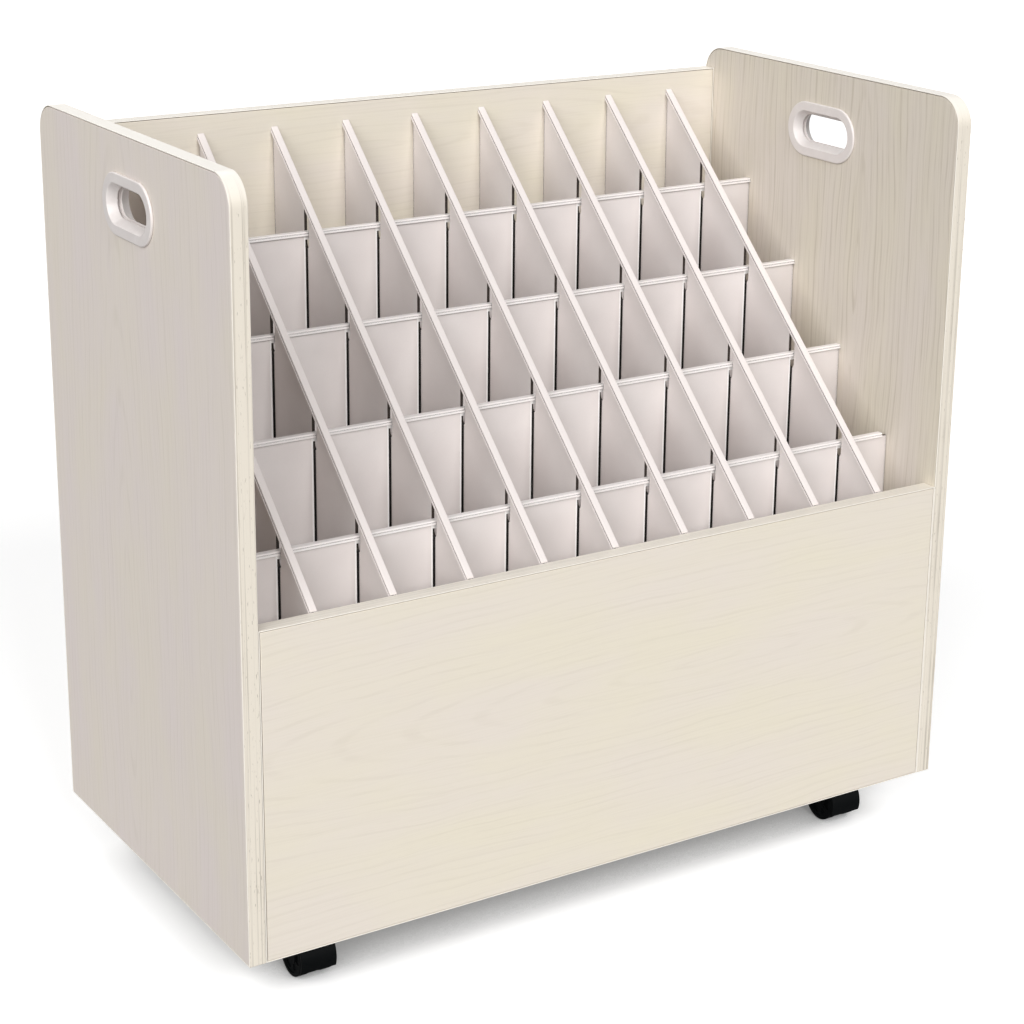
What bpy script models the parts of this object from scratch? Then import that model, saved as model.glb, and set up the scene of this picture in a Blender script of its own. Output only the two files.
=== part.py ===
"""Mobile roll file organizer: a laminate cabinet with a sloping grid of dividers, on four twin wheel casters.

Metres, +Z up, front facing -Y. The origin is on the floor under the middle of the cabinet.
"""

import math

import bmesh
import bpy
from mathutils import Euler, Matrix

# Cabinet, measured over its laminate panels
CABINET_WIDTH = 0.76835
CABINET_DEPTH = 0.40005
CABINET_HEIGHT = 0.74295
PANEL_THICKNESS = 0.016
PANEL_EDGE_RADIUS = 0.0008
SIDE_CORNER_RADIUS = 0.027
BACK_PANEL_DROP = 0.0225
FRONT_PANEL_HEIGHT = 0.308

# Clearances
TOUCH_GAP = 0.0003
CUT_OVERRUN = 0.002

# Divider boards: nine run front to back, four run from side to side
BOARD_THICKNESS = 0.003
COLUMN_DIVIDERS = 9
COLUMN_PITCH_SHARE = 0.10484
COLUMN_FRONT_RISE = 0.002
COLUMN_BACK_DROP = 0.018
ROW_DIVIDERS = 4
ROW_PITCH_SHARE = 0.21736
FRONT_ROW_SHARE = 0.16574
FRONT_ROW_SINK = 0.0215
ROW_RISE_SHARE = 0.972
ROW_SLOT_WIDTH = 0.0074
ROW_BRIDGE_HEIGHT = 0.0040
COLUMN_SLOT_CLEARANCE = 0.0005
COLUMN_SLOT_DEPTH = 0.010

# White edge moulding that is pushed over the top of each divider board
CAP_WIDTH = 0.008
CAP_THICKNESS = 0.0035
CAP_CORNER_RADIUS = 0.0008
LEG_THICKNESS = 0.0017
LEG_HEIGHT = 0.0035
FRONT_MOULDING_SHORTFALL = 0.007

# Hand grips, one in each side panel, each made of an outer and an inner ring
GRIP_DROP = 0.0626
GRIP_STRAIGHT = 0.0485
GRIP_OPENING_RADIUS = 0.0125
GRIP_THROAT_WALL = 0.008
GRIP_MOUTH_WALL = 0.0025
GRIP_FLANGE_WIDTH = 0.01525
GRIP_FLANGE_HEIGHT = 0.0025
GRIP_RIM_RADIUS = 0.0012

# Twin wheel casters
CASTER_HEIGHT = 0.052
CASTER_SIDE_INSET = 0.082
CASTER_END_INSET = 0.067
WHEEL_RADIUS = 0.020
WHEEL_WIDTH = 0.011
WHEEL_SIDE_GAP = 0.0008
TREAD_RADIUS = 0.002
DISH_DEPTH = 0.0012
DISH_INNER_RADIUS = 0.0075
DISH_OUTER_RADIUS = 0.016
DISH_SLOPE = 0.001
HUB_WALL = 0.0025
TRAIL = 0.0145
HOOD_WIDTH = 0.035
HOOD_WALL = 0.0025
HOOD_SKIRT = 0.009
HOOD_TOP_GAP = 0.0005
WHEEL_TOP_GAP = 0.0012
WEB_WIDTH = 0.0108
WEB_RADIUS = 0.016
BOSS_RADIUS = 0.009
KINGPIN_RADIUS = 0.0035
KINGPIN_LENGTH = 0.021
KINGPIN_CHAMFER = 0.001
COLLAR_RADIUS = 0.0065
COLLAR_THICKNESS = 0.0012
AXLE_RADIUS = 0.003
AXLE_CHAMFER = 0.0005
PLATE_SIZE = 0.038
PLATE_THICKNESS = 0.0025
PLATE_CORNER_RADIUS = 0.005
PLATE_HOLE_RADIUS = 0.0022
PLATE_HOLE_INSET = 0.006

# Facets
CORNER_STEPS = 8
GRIP_STEPS = 10
SLOT_STEPS = 6
ROUND_STEPS = 24
PIN_STEPS = 12
PROFILE_STEPS = 2
WELD_DISTANCE = 0.000001

# Heights and half sizes that follow from the values above
SIDE_BOTTOM = CASTER_HEIGHT + TOUCH_GAP
BOTTOM_PANEL_TOP = SIDE_BOTTOM + PANEL_THICKNESS
BACK_PANEL_TOP = CABINET_HEIGHT - BACK_PANEL_DROP
INNER_HALF_WIDTH = CABINET_WIDTH / 2 - PANEL_THICKNESS
INNER_HALF_DEPTH = CABINET_DEPTH / 2 - PANEL_THICKNESS
RUN_HALF_WIDTH = INNER_HALF_WIDTH - TOUCH_GAP
RUN_HALF_DEPTH = INNER_HALF_DEPTH - TOUCH_GAP
BOARD_BOTTOM = BOTTOM_PANEL_TOP + TOUCH_GAP
COLUMN_FRONT_TOP = SIDE_BOTTOM + FRONT_PANEL_HEIGHT + COLUMN_FRONT_RISE
COLUMN_BACK_TOP = BACK_PANEL_TOP - COLUMN_BACK_DROP
COLUMN_SLOPE = (COLUMN_BACK_TOP - COLUMN_FRONT_TOP) / (2 * RUN_HALF_DEPTH)
COLUMN_STRETCH = math.sqrt(1 + COLUMN_SLOPE ** 2)

# Spacing of the dividers, which share out the space between the panels
COLUMN_PITCH = 2 * INNER_HALF_WIDTH * COLUMN_PITCH_SHARE
ROW_PITCH = 2 * INNER_HALF_DEPTH * ROW_PITCH_SHARE
FRONT_ROW_DEPTH = 2 * INNER_HALF_DEPTH * FRONT_ROW_SHARE
FRONT_ROW_TOP = COLUMN_FRONT_TOP + COLUMN_SLOPE * FRONT_ROW_DEPTH - FRONT_ROW_SINK
ROW_RISE = COLUMN_SLOPE * ROW_PITCH * ROW_RISE_SHARE
GRIP_CENTRE = CABINET_HEIGHT - GRIP_DROP

# Which way an outline lies: seen from the side or seen from the front
FROM_SIDE = Euler((math.pi / 2, 0, math.pi / 2)).to_matrix().to_4x4()
FROM_FRONT = Euler((math.pi / 2, 0, 0)).to_matrix().to_4x4()


def linear(hex_colour):
    """Turn a hex sRGB colour into the linear values that a material takes."""
    channels = [int(hex_colour[i:i + 2], 16) / 255 for i in (1, 3, 5)]
    return [c / 12.92 if c <= 0.04045 else ((c + 0.055) / 1.055) ** 2.4 for c in channels] + [1]


def material(name, hex_colour, roughness, metallic=0):
    """A plain Principled material."""
    item = bpy.data.materials.new(name)
    item.use_nodes = True
    shader = item.node_tree.nodes["Principled BSDF"]
    shader.inputs["Base Color"].default_value = linear(hex_colour)
    shader.inputs["Roughness"].default_value = roughness
    shader.inputs["Metallic"].default_value = metallic
    item.diffuse_color = linear(hex_colour)
    return item


def collection(name):
    """A new collection under the scene's own."""
    group = bpy.data.collections.new(name)
    bpy.context.scene.collection.children.link(group)
    return group


def place(name, mesh, group, look=None, location=(0, 0, 0), parent=None):
    """Make an object of a mesh and put it in a collection."""
    item = bpy.data.objects.new(name, mesh)
    group.objects.link(item)
    item.location = location
    item.parent = parent
    if look:
        mesh.materials.clear()
        mesh.materials.append(look)
    return item


def arc(centre, radius, start, end, steps):
    """Points on an arc, both ends included, with angles in radians."""
    angles = [start + (end - start) * i / steps for i in range(steps + 1)]
    return [(centre[0] + radius * math.cos(a), centre[1] + radius * math.sin(a)) for a in angles]


def stadium(straight, radius, steps):
    """Outline of a slot with round ends, lying along the first axis."""
    right = arc((straight / 2, 0), radius, -math.pi / 2, math.pi / 2, steps)
    left = arc((-straight / 2, 0), radius, math.pi / 2, 3 * math.pi / 2, steps)
    return right + left


def curve_from(name, loops):
    """A flat curve with one closed spline for each loop of points."""
    curve = bpy.data.curves.new(name, "CURVE")
    curve.dimensions = "2D"
    for loop in loops:
        spline = curve.splines.new("POLY")
        spline.points.add(len(loop) - 1)
        for point, (x, y) in zip(spline.points, loop):
            point.co = (x, y, 0, 1)
        spline.use_cyclic_u = True
    return curve


def mesh_from(name, curve):
    """Turn a curve into a closed mesh whose faces point out."""
    guide = bpy.data.objects.new(name + "_curve", curve)
    bpy.context.scene.collection.objects.link(guide)
    graph = bpy.context.evaluated_depsgraph_get()
    mesh = bpy.data.meshes.new_from_object(guide.evaluated_get(graph))
    bpy.data.objects.remove(guide)
    mesh.name = name
    work = bmesh.new()
    work.from_mesh(mesh)
    bmesh.ops.remove_doubles(work, verts=work.verts, dist=WELD_DISTANCE)
    bmesh.ops.recalc_face_normals(work, faces=work.faces)
    work.to_mesh(mesh)
    work.free()
    return mesh


def outline_mesh(name, loops, thickness, turn, edge_radius=0):
    """A flat piece: an outline, with any holes, thickened evenly on both sides."""
    curve = curve_from(name, loops)
    curve.fill_mode = "BOTH"
    curve.bevel_depth = edge_radius
    curve.offset = -edge_radius
    curve.bevel_resolution = 1
    curve.extrude = thickness / 2 - edge_radius
    mesh = mesh_from(name, curve)
    mesh.transform(turn)
    return mesh


def box_mesh(name, size):
    """A box round its own centre."""
    mesh = bpy.data.meshes.new(name)
    work = bmesh.new()
    bmesh.ops.create_cube(work, size=1, matrix=Matrix.Diagonal((*size, 1)))
    work.to_mesh(mesh)
    work.free()
    return mesh


def cylinder_mesh(name, radius, length, turn=Matrix.Identity(4)):
    """A cylinder round its own centre, along Z before it is turned."""
    mesh = bpy.data.meshes.new(name)
    work = bmesh.new()
    ends = {"radius1": radius, "radius2": radius}
    bmesh.ops.create_cone(work, cap_ends=True, segments=ROUND_STEPS, depth=length, **ends)
    work.to_mesh(mesh)
    work.free()
    mesh.transform(turn)
    return mesh


def turned(name, profile, group, look, location, parent, turn, steps=ROUND_STEPS):
    """A turned piece: its profile runs from the top of the axis down the outer side."""
    mesh = bpy.data.meshes.new(name)
    edges = [(i, i + 1) for i in range(len(profile) - 1)]
    mesh.from_pydata([(radius, 0, height) for radius, height in profile], edges, [])
    item = place(name, mesh, group, look, location, parent)
    item.rotation_euler = turn
    screw = item.modifiers.new("Turn", "SCREW")
    screw.steps = steps
    screw.render_steps = steps
    screw.use_merge_vertices = True
    screw.merge_threshold = WELD_DISTANCE
    screw.use_smooth_shade = True
    return item


def round_edges(item, width):
    """Round the sharp edges of a piece."""
    bevel = item.modifiers.new("Edges", "BEVEL")
    bevel.width = width
    bevel.segments = PROFILE_STEPS
    bevel.limit_method = "ANGLE"
    return item


def combine(item, other, operation):
    """Cut a piece with a cutter, or join a shape to it."""
    boolean = item.modifiers.new(other.name, "BOOLEAN")
    boolean.operation = operation
    boolean.solver = "EXACT"
    boolean.object = other
    other.hide_render = True
    other.display_type = "WIRE"
    return item


def panel(name, group, look, size, centre):
    """One flat laminate panel with slightly rounded edges."""
    return round_edges(place(name, box_mesh(name, size), group, look, centre), PANEL_EDGE_RADIUS)


def make_panels(group, look):
    """Back, front and bottom panels, which stand between the two side panels."""
    width = 2 * RUN_HALF_WIDTH
    back_height = BACK_PANEL_TOP - SIDE_BOTTOM
    across = CABINET_DEPTH / 2 - PANEL_THICKNESS / 2
    back_centre = (0, across, SIDE_BOTTOM + back_height / 2)
    front_centre = (0, -across, SIDE_BOTTOM + FRONT_PANEL_HEIGHT / 2)
    bottom_centre = (0, 0, SIDE_BOTTOM + PANEL_THICKNESS / 2)
    panel("back_panel", group, look, (width, PANEL_THICKNESS, back_height), back_centre)
    panel("front_panel", group, look, (width, PANEL_THICKNESS, FRONT_PANEL_HEIGHT), front_centre)
    panel("bottom_panel", group, look, (width, 2 * RUN_HALF_DEPTH, PANEL_THICKNESS), bottom_centre)


def side_outline():
    """Side panel: square at the bottom, with rounded top corners."""
    half = CABINET_DEPTH / 2
    height = CABINET_HEIGHT - SIDE_BOTTOM
    radius = SIDE_CORNER_RADIUS
    back = arc((half - radius, height - radius), radius, 0, math.pi / 2, CORNER_STEPS)
    front = arc((radius - half, height - radius), radius, math.pi / 2, math.pi, CORNER_STEPS)
    return [(-half, 0), (half, 0)] + back + front


def make_sides(group, look):
    """Side panels, each with a slot for its hand grip."""
    slot_radius = GRIP_OPENING_RADIUS + GRIP_THROAT_WALL + TOUCH_GAP
    slot_height = GRIP_CENTRE - SIDE_BOTTOM
    slot = [(y, z + slot_height) for y, z in stadium(GRIP_STRAIGHT, slot_radius, GRIP_STEPS)]
    for side, sign in (("left", -1), ("right", 1)):
        name = "side_panel_" + side
        mesh = outline_mesh(name, [side_outline(), slot], PANEL_THICKNESS, FROM_SIDE, PANEL_EDGE_RADIUS)
        offset = sign * (CABINET_WIDTH / 2 - PANEL_THICKNESS / 2)
        place(name, mesh, group, look, (offset, 0, SIDE_BOTTOM))


def grip_profile():
    """Section of one grip ring: distance inwards from the path, height above the panel's face."""
    rim = GRIP_RIM_RADIUS
    top = GRIP_FLANGE_HEIGHT
    mouth = GRIP_THROAT_WALL - GRIP_MOUTH_WALL
    outer_rim = arc((GRIP_FLANGE_WIDTH - rim, top - rim), rim, 0, math.pi / 2, PROFILE_STEPS)
    inner_rim = arc((mouth + 2 * rim, top - rim), rim, math.pi / 2, math.pi, PROFILE_STEPS)
    face = [(GRIP_FLANGE_WIDTH, TOUCH_GAP)] + outer_rim + inner_rim
    throat_end = (TOUCH_GAP - PANEL_THICKNESS) / 2
    throat = [(mouth, 0), (0, throat_end), (GRIP_THROAT_WALL, throat_end), (GRIP_THROAT_WALL, TOUCH_GAP)]
    return [(-out, up) for out, up in face + throat]


def make_grips(group, look):
    """Two moulded rings in each side panel, which meet in the middle of its thickness."""
    for side, sign in (("left", -1), ("right", 1)):
        for face, out in (("outer", sign), ("inner", -sign)):
            name = "hand_grip_{}_{}".format(side, face)
            section = bpy.data.objects.new(name + "_section", curve_from(name, [grip_profile()]))
            path = curve_from(name, [stadium(GRIP_STRAIGHT, GRIP_OPENING_RADIUS, GRIP_STEPS)])
            path.fill_mode = "NONE"
            path.bevel_mode = "OBJECT"
            path.bevel_object = section
            mesh = mesh_from(name, path)
            bpy.data.objects.remove(section)
            mesh.transform(FROM_SIDE)
            if out < 0:
                mesh.transform(Matrix.Rotation(math.pi, 4, "Z"))
            panel_middle = sign * (CABINET_WIDTH - PANEL_THICKNESS) / 2
            offset = panel_middle + out * PANEL_THICKNESS / 2
            place(name, mesh, group, look, (offset, 0, GRIP_CENTRE))


def column_places():
    """Where the front to back dividers stand, from left to right."""
    return [(i - (COLUMN_DIVIDERS - 1) / 2) * COLUMN_PITCH for i in range(COLUMN_DIVIDERS)]


def row_places():
    """Distance from the middle and moulding height of each side to side divider, from the front."""
    front = FRONT_ROW_DEPTH - INNER_HALF_DEPTH
    return [(front + i * ROW_PITCH, FRONT_ROW_TOP + i * ROW_RISE) for i in range(ROW_DIVIDERS)]


def column_top(y):
    """Height of a column divider's bare edge, under its moulding, at a distance from the middle."""
    cap = (CAP_THICKNESS + TOUCH_GAP) * COLUMN_STRETCH
    return COLUMN_FRONT_TOP + COLUMN_SLOPE * (y + RUN_HALF_DEPTH) - cap


def column_outline():
    """Column divider: sloped on top, with a round ended slot for each row divider and its moulding."""
    half_slot = CAP_WIDTH / 2 + COLUMN_SLOT_CLEARANCE
    ends = RUN_HALF_DEPTH
    points = [(-ends, BOARD_BOTTOM), (ends, BOARD_BOTTOM), (ends, column_top(ends))]
    for y, top in reversed(row_places()):
        slot_end = top - CAP_THICKNESS - LEG_HEIGHT - COLUMN_SLOT_DEPTH
        points.append((y + half_slot, column_top(y + half_slot)))
        points += arc((y, slot_end + half_slot), half_slot, 0, -math.pi, SLOT_STEPS)
        points.append((y - half_slot, column_top(y - half_slot)))
    points.append((-ends, column_top(-ends)))
    return points


def row_outline(top):
    """Row divider: level on top, slotted from below so that it drops over the column dividers."""
    ends = RUN_HALF_WIDTH
    edge = top - CAP_THICKNESS - TOUCH_GAP
    slot_top = edge - ROW_BRIDGE_HEIGHT
    points = [(-ends, BOARD_BOTTOM)]
    for x in column_places():
        left = x - ROW_SLOT_WIDTH / 2
        right = x + ROW_SLOT_WIDTH / 2
        points += [(left, BOARD_BOTTOM), (left, slot_top), (right, slot_top), (right, BOARD_BOTTOM)]
    return points + [(ends, BOARD_BOTTOM), (ends, edge), (-ends, edge)]


def moulding_section(stretch):
    """Section of the edge moulding, a cap over two legs, with heights stretched for a sloped run."""
    inside = BOARD_THICKNESS / 2 + TOUCH_GAP
    outside = inside + LEG_THICKNESS
    wide = CAP_WIDTH / 2
    radius = CAP_CORNER_RADIUS
    right = arc((wide - radius, -radius), radius, 0, math.pi / 2, PROFILE_STEPS)
    left = arc((radius - wide, -radius), radius, math.pi / 2, math.pi, PROFILE_STEPS)
    under = -CAP_THICKNESS
    tip = under - LEG_HEIGHT
    left_leg = [(-wide, under), (-outside, under), (-outside, tip), (-inside, tip), (-inside, under)]
    right_leg = [(inside, under), (inside, tip), (outside, tip), (outside, under), (wide, under)]
    return [(x, y * stretch) for x, y in left_leg + right_leg + right + left]


def make_columns(group, board_look, moulding_look):
    """Front to back dividers, each with a moulding along its slope."""
    middle = COLUMN_FRONT_TOP + COLUMN_SLOPE * RUN_HALF_DEPTH
    slope = Matrix(((1, 0, 0, 0), (0, 1, 0, 0), (0, COLUMN_SLOPE, 1, 0), (0, 0, 0, 1)))
    for number, x in enumerate(column_places(), 1):
        board = "column_divider_{}".format(number)
        mesh = outline_mesh(board, [column_outline()], BOARD_THICKNESS, FROM_SIDE)
        place(board, mesh, group, board_look, (x, 0, 0))
        moulding = "column_moulding_{}".format(number)
        section = moulding_section(COLUMN_STRETCH)
        mesh = outline_mesh(moulding, [section], 2 * RUN_HALF_DEPTH, FROM_FRONT)
        mesh.transform(slope)
        place(moulding, mesh, group, moulding_look, (x, 0, middle))


def make_rows(group, board_look, moulding_look):
    """Side to side dividers and their level mouldings, the front one cut short at its right end."""
    for number, (y, top) in enumerate(row_places(), 1):
        board = "row_divider_{}".format(number)
        mesh = outline_mesh(board, [row_outline(top)], BOARD_THICKNESS, FROM_FRONT)
        place(board, mesh, group, board_look, (0, y, 0))
        moulding = "row_moulding_{}".format(number)
        short = FRONT_MOULDING_SHORTFALL if number == 1 else 0
        mesh = outline_mesh(moulding, [moulding_section(1)], 2 * RUN_HALF_WIDTH - short, FROM_SIDE)
        place(moulding, mesh, group, moulding_look, (-short / 2, y, top))


def make_plate(name, group, look, parent):
    """Square top plate with rounded corners, four screw holes and a hole for the kingpin."""
    half = PLATE_SIZE / 2
    radius = PLATE_CORNER_RADIUS
    inset = half - PLATE_HOLE_INSET
    quarter = math.pi / 2
    corners = ((1, 1), (-1, 1), (-1, -1), (1, -1))
    outline = []
    holes = [arc((0, 0), KINGPIN_RADIUS + TOUCH_GAP, 0, 2 * math.pi, PIN_STEPS)[:-1]]
    for turn, (sx, sy) in enumerate(corners):
        centre = (sx * (half - radius), sy * (half - radius))
        outline += arc(centre, radius, turn * quarter, (turn + 1) * quarter, PROFILE_STEPS)
        holes.append(arc((sx * inset, sy * inset), PLATE_HOLE_RADIUS, 0, 2 * math.pi, CORNER_STEPS)[:-1])
    mesh = outline_mesh(name, [outline] + holes, PLATE_THICKNESS, Matrix.Identity(4))
    place(name, mesh, group, look, (0, 0, CASTER_HEIGHT - PLATE_THICKNESS / 2), parent)


def make_kingpin(name, group, look, parent):
    """Steel pin that is held in the plate, with a collar on which the hood turns."""
    head = CASTER_HEIGHT
    collar_top = head - PLATE_THICKNESS - TOUCH_GAP
    collar_bottom = collar_top - COLLAR_THICKNESS
    tip = head - PLATE_THICKNESS - KINGPIN_LENGTH
    wide = KINGPIN_RADIUS
    narrow = wide - KINGPIN_CHAMFER
    collar = [(wide, collar_top), (COLLAR_RADIUS, collar_top), (COLLAR_RADIUS, collar_bottom), (wide, collar_bottom)]
    shank = [(wide, tip + KINGPIN_CHAMFER), (narrow, tip), (0, tip)]
    profile = [(0, head), (wide, head)] + collar + shank
    turned(name, profile, group, look, (0, 0, 0), parent, (0, 0, 0), PIN_STEPS)


def make_hood(name, group, cutters, look, parent):
    """Swivelling body: a fender over both wheels, a round web between them and a boss round the kingpin."""
    axle = (-TRAIL, WHEEL_RADIUS)
    well_radius = WHEEL_RADIUS + WHEEL_TOP_GAP
    radius = well_radius + HOOD_WALL
    dip = math.asin(HOOD_SKIRT / radius)
    fender = arc(axle, radius, -dip, math.pi + dip, ROUND_STEPS)
    hood = place(name, outline_mesh(name, [fender], HOOD_WIDTH, FROM_SIDE), group, look, (0, 0, 0), parent)
    plate_bottom = CASTER_HEIGHT - PLATE_THICKNESS
    boss_top = plate_bottom - TOUCH_GAP - COLLAR_THICKNESS - HOOD_TOP_GAP
    boss_length = boss_top - WHEEL_RADIUS
    boss_mesh = cylinder_mesh(name + "_boss", BOSS_RADIUS, boss_length)
    boss = place(name + "_boss", boss_mesh, cutters, None, (0, 0, boss_top - boss_length / 2), parent)
    combine(hood, boss, "UNION")
    well_width = (HOOD_WIDTH - WEB_WIDTH) / 2 + CUT_OVERRUN
    across = Matrix.Rotation(math.pi / 2, 4, "Y")
    web_mesh = cylinder_mesh(name + "_web", WEB_RADIUS, WEB_WIDTH, across)
    combine(hood, place(name + "_web", web_mesh, cutters, None, (0, *axle), parent), "UNION")
    for side, sign in (("left", -1), ("right", 1)):
        well_name = "{}_well_{}".format(name, side)
        centre = (sign * (WEB_WIDTH + well_width) / 2, *axle)
        well_mesh = cylinder_mesh(well_name, well_radius, well_width, across)
        combine(hood, place(well_name, well_mesh, cutters, None, centre, parent), "DIFFERENCE")
    bore_length = KINGPIN_LENGTH + CUT_OVERRUN
    bore_mesh = cylinder_mesh(name + "_kingpin_bore", KINGPIN_RADIUS + TOUCH_GAP, bore_length)
    bore_centre = (0, 0, plate_bottom - KINGPIN_LENGTH - HOOD_TOP_GAP + bore_length / 2)
    combine(hood, place(name + "_kingpin_bore", bore_mesh, cutters, None, bore_centre, parent), "DIFFERENCE")
    hole_mesh = cylinder_mesh(name + "_axle_bore", AXLE_RADIUS + TOUCH_GAP, WEB_WIDTH + CUT_OVERRUN, across)
    combine(hood, place(name + "_axle_bore", hole_mesh, cutters, None, (0, *axle), parent), "DIFFERENCE")
    return hood


def wheel_profile():
    """Half section of a wheel: distance from its axis, height above its inner face."""
    hub = DISH_INNER_RADIUS - DISH_SLOPE
    floor = WHEEL_WIDTH - DISH_DEPTH
    dish = [(0, WHEEL_WIDTH), (hub, WHEEL_WIDTH), (DISH_INNER_RADIUS, floor), (DISH_OUTER_RADIUS, floor)]
    rim = [(DISH_OUTER_RADIUS + DISH_SLOPE, WHEEL_WIDTH)]
    crown = WHEEL_RADIUS - TREAD_RADIUS
    outer = arc((crown, WHEEL_WIDTH - TREAD_RADIUS), TREAD_RADIUS, math.pi / 2, 0, PROFILE_STEPS)
    inner = arc((crown, TREAD_RADIUS), TREAD_RADIUS, 0, -math.pi / 2, PROFILE_STEPS)
    bore = AXLE_RADIUS + TOUCH_GAP
    blind = WHEEL_WIDTH - HUB_WALL
    return dish + rim + outer + inner + [(bore, 0), (bore, blind), (0, blind)]


def make_wheels(prefix, group, look, parent):
    """Two wheels on one axle, one each side of the web."""
    for side, sign in (("left", -1), ("right", 1)):
        offset = sign * (WEB_WIDTH / 2 + WHEEL_SIDE_GAP)
        turn = (0, sign * math.pi / 2, 0)
        name = "{}_wheel_{}".format(prefix, side)
        turned(name, wheel_profile(), group, look, (offset, -TRAIL, WHEEL_RADIUS), parent, turn)


def make_axle(name, group, look, parent):
    """Steel pin through the web, blind in both hubs."""
    half = WEB_WIDTH / 2 + WHEEL_SIDE_GAP + WHEEL_WIDTH - HUB_WALL - TOUCH_GAP
    wide = AXLE_RADIUS
    narrow = wide - AXLE_CHAMFER
    shoulder = half - AXLE_CHAMFER
    profile = [(0, half), (narrow, half), (wide, shoulder), (wide, -shoulder), (narrow, -half), (0, -half)]
    turned(name, profile, group, look, (0, -TRAIL, WHEEL_RADIUS), parent, (0, math.pi / 2, 0), PIN_STEPS)


def make_casters(group, cutters, plastic, steel):
    """Four casters, all trailing to the front as after a push backwards."""
    reach = CABINET_WIDTH / 2 - CASTER_SIDE_INSET
    depth = CABINET_DEPTH / 2 - CASTER_END_INSET
    for end, along in (("front", -depth), ("rear", depth)):
        for side, across in (("left", -reach), ("right", reach)):
            prefix = "caster_{}_{}".format(end, side)
            axis = bpy.data.objects.new(prefix + "_swivel_axis", None)
            group.objects.link(axis)
            axis.location = (across, along, 0)
            make_plate(prefix + "_plate", group, steel, axis)
            make_kingpin(prefix + "_kingpin", group, steel, axis)
            make_hood(prefix + "_hood", group, cutters, plastic, axis)
            make_axle(prefix + "_axle", group, steel, axis)
            make_wheels(prefix, group, plastic, axis)


def main():
    for item in list(bpy.data.objects):
        bpy.data.objects.remove(item)
    group = collection("Mobile roll file organizer")
    cutters = collection("Cutters")
    laminate = material("Laminate", "#E8E1D1", 0.45)
    fibreboard = material("Fibreboard", "#D9D2CF", 0.8)
    moulding = material("White moulding", "#F8F2EF", 0.35)
    grip = material("Grip plastic", "#E6DEDB", 0.4)
    caster = material("Caster plastic", "#0A0D0E", 0.45)
    steel = material("Caster steel", "#B8BABC", 0.35, 1)
    make_sides(group, laminate)
    make_panels(group, laminate)
    make_grips(group, grip)
    make_columns(group, fibreboard, moulding)
    make_rows(group, fibreboard, moulding)
    make_casters(group, cutters, caster, steel)


if __name__ == "__main__":
    main()
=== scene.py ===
"""Mobile roll file organizer: detailed pieces, finishes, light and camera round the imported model.

Metres, +Z up, front facing -Y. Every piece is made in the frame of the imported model.
"""

import math

import bmesh
import bpy
from bpy.props import FloatProperty, FloatVectorProperty, PointerProperty
from bpy.types import Operator, Panel, PropertyGroup
from mathutils import Matrix, Vector


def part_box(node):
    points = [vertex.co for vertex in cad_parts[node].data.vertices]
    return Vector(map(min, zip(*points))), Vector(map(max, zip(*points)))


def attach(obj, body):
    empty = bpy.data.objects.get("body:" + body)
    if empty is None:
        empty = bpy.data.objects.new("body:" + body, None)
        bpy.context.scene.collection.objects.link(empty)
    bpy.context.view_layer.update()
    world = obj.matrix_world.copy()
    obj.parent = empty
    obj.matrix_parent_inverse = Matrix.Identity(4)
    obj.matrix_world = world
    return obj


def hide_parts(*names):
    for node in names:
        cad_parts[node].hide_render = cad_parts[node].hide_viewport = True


bl_info = {
    "name": "Mobile roll file organizer",
    "version": (1, 0, 0),
    "blender": (4, 5, 0),
    "location": "View3D > Sidebar > Roll file",
    "description": "Makes the detailed pieces, finishes and stage of a roll file organizer on casters",
    "category": "Object",
}

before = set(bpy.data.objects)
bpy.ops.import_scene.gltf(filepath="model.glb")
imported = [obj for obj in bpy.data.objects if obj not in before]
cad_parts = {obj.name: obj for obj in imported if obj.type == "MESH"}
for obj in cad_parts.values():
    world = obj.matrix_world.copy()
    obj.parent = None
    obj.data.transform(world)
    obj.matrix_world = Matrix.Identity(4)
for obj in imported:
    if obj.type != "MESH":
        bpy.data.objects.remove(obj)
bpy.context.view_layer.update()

CASTERS = ("front_left", "front_right", "rear_left", "rear_right")
COLUMNS = range(1, 10)
ROWS = range(1, 5)

# Corners of the round pieces
GRIP_VERTICES = 62
WHEEL_VERTICES = 60
HOOD_VERTICES = 64
WEB_VERTICES = 48
BOSS_VERTICES = 40
PIN_VERTICES = 32

# Sizes that several pieces share
GRIP_STRAIGHT = 0.0485
SLOT_HALF = 0.0037
PLATE_BOTTOM = 0.0495
KINGPIN_HOLE = 0.0038
AXLE_HOLE = 0.0033

# Usual broken edge, gap between pieces that touch, overrun of cutters, and how near counts as level
ARRIS = 0.0003
JOINT = 0.0001
OVERRUN = 0.008
REACH = 1e-5


def linear(hex_colour):
    """Turn an sRGB hex colour into the linear colour that Blender works with."""
    channels = [int(hex_colour[i:i + 2], 16) / 255 for i in (1, 3, 5)]
    return [c / 12.92 if c <= 0.04045 else ((c + 0.055) / 1.055) ** 2.4 for c in channels] + [1.0]


def repeat(millimetres):
    """Texture scale that gives features of this size on coordinates in metres."""
    return 1000 / millimetres


def centre(node):
    """Middle of one of the model's nodes."""
    low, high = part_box(node)
    return (low + high) / 2


# Making and shaping pieces


def alone(item):
    """Select one piece and nothing else."""
    bpy.ops.object.select_all(action="DESELECT")
    item.select_set(True)
    bpy.context.view_layer.objects.active = item


def named(name):
    """Name the primitive that was just added, and put its place in its mesh."""
    item = bpy.context.object
    item.name = name
    item.data.name = name
    bpy.ops.object.transform_apply(location=True, rotation=True, scale=True)
    return item


def block(name, low, high):
    """A box between two corners."""
    bpy.ops.object.select_all(action="DESELECT")
    low, high = Vector(low), Vector(high)
    bpy.ops.mesh.primitive_cube_add(size=1, location=(low + high) / 2, scale=high - low)
    return named(name)


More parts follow.
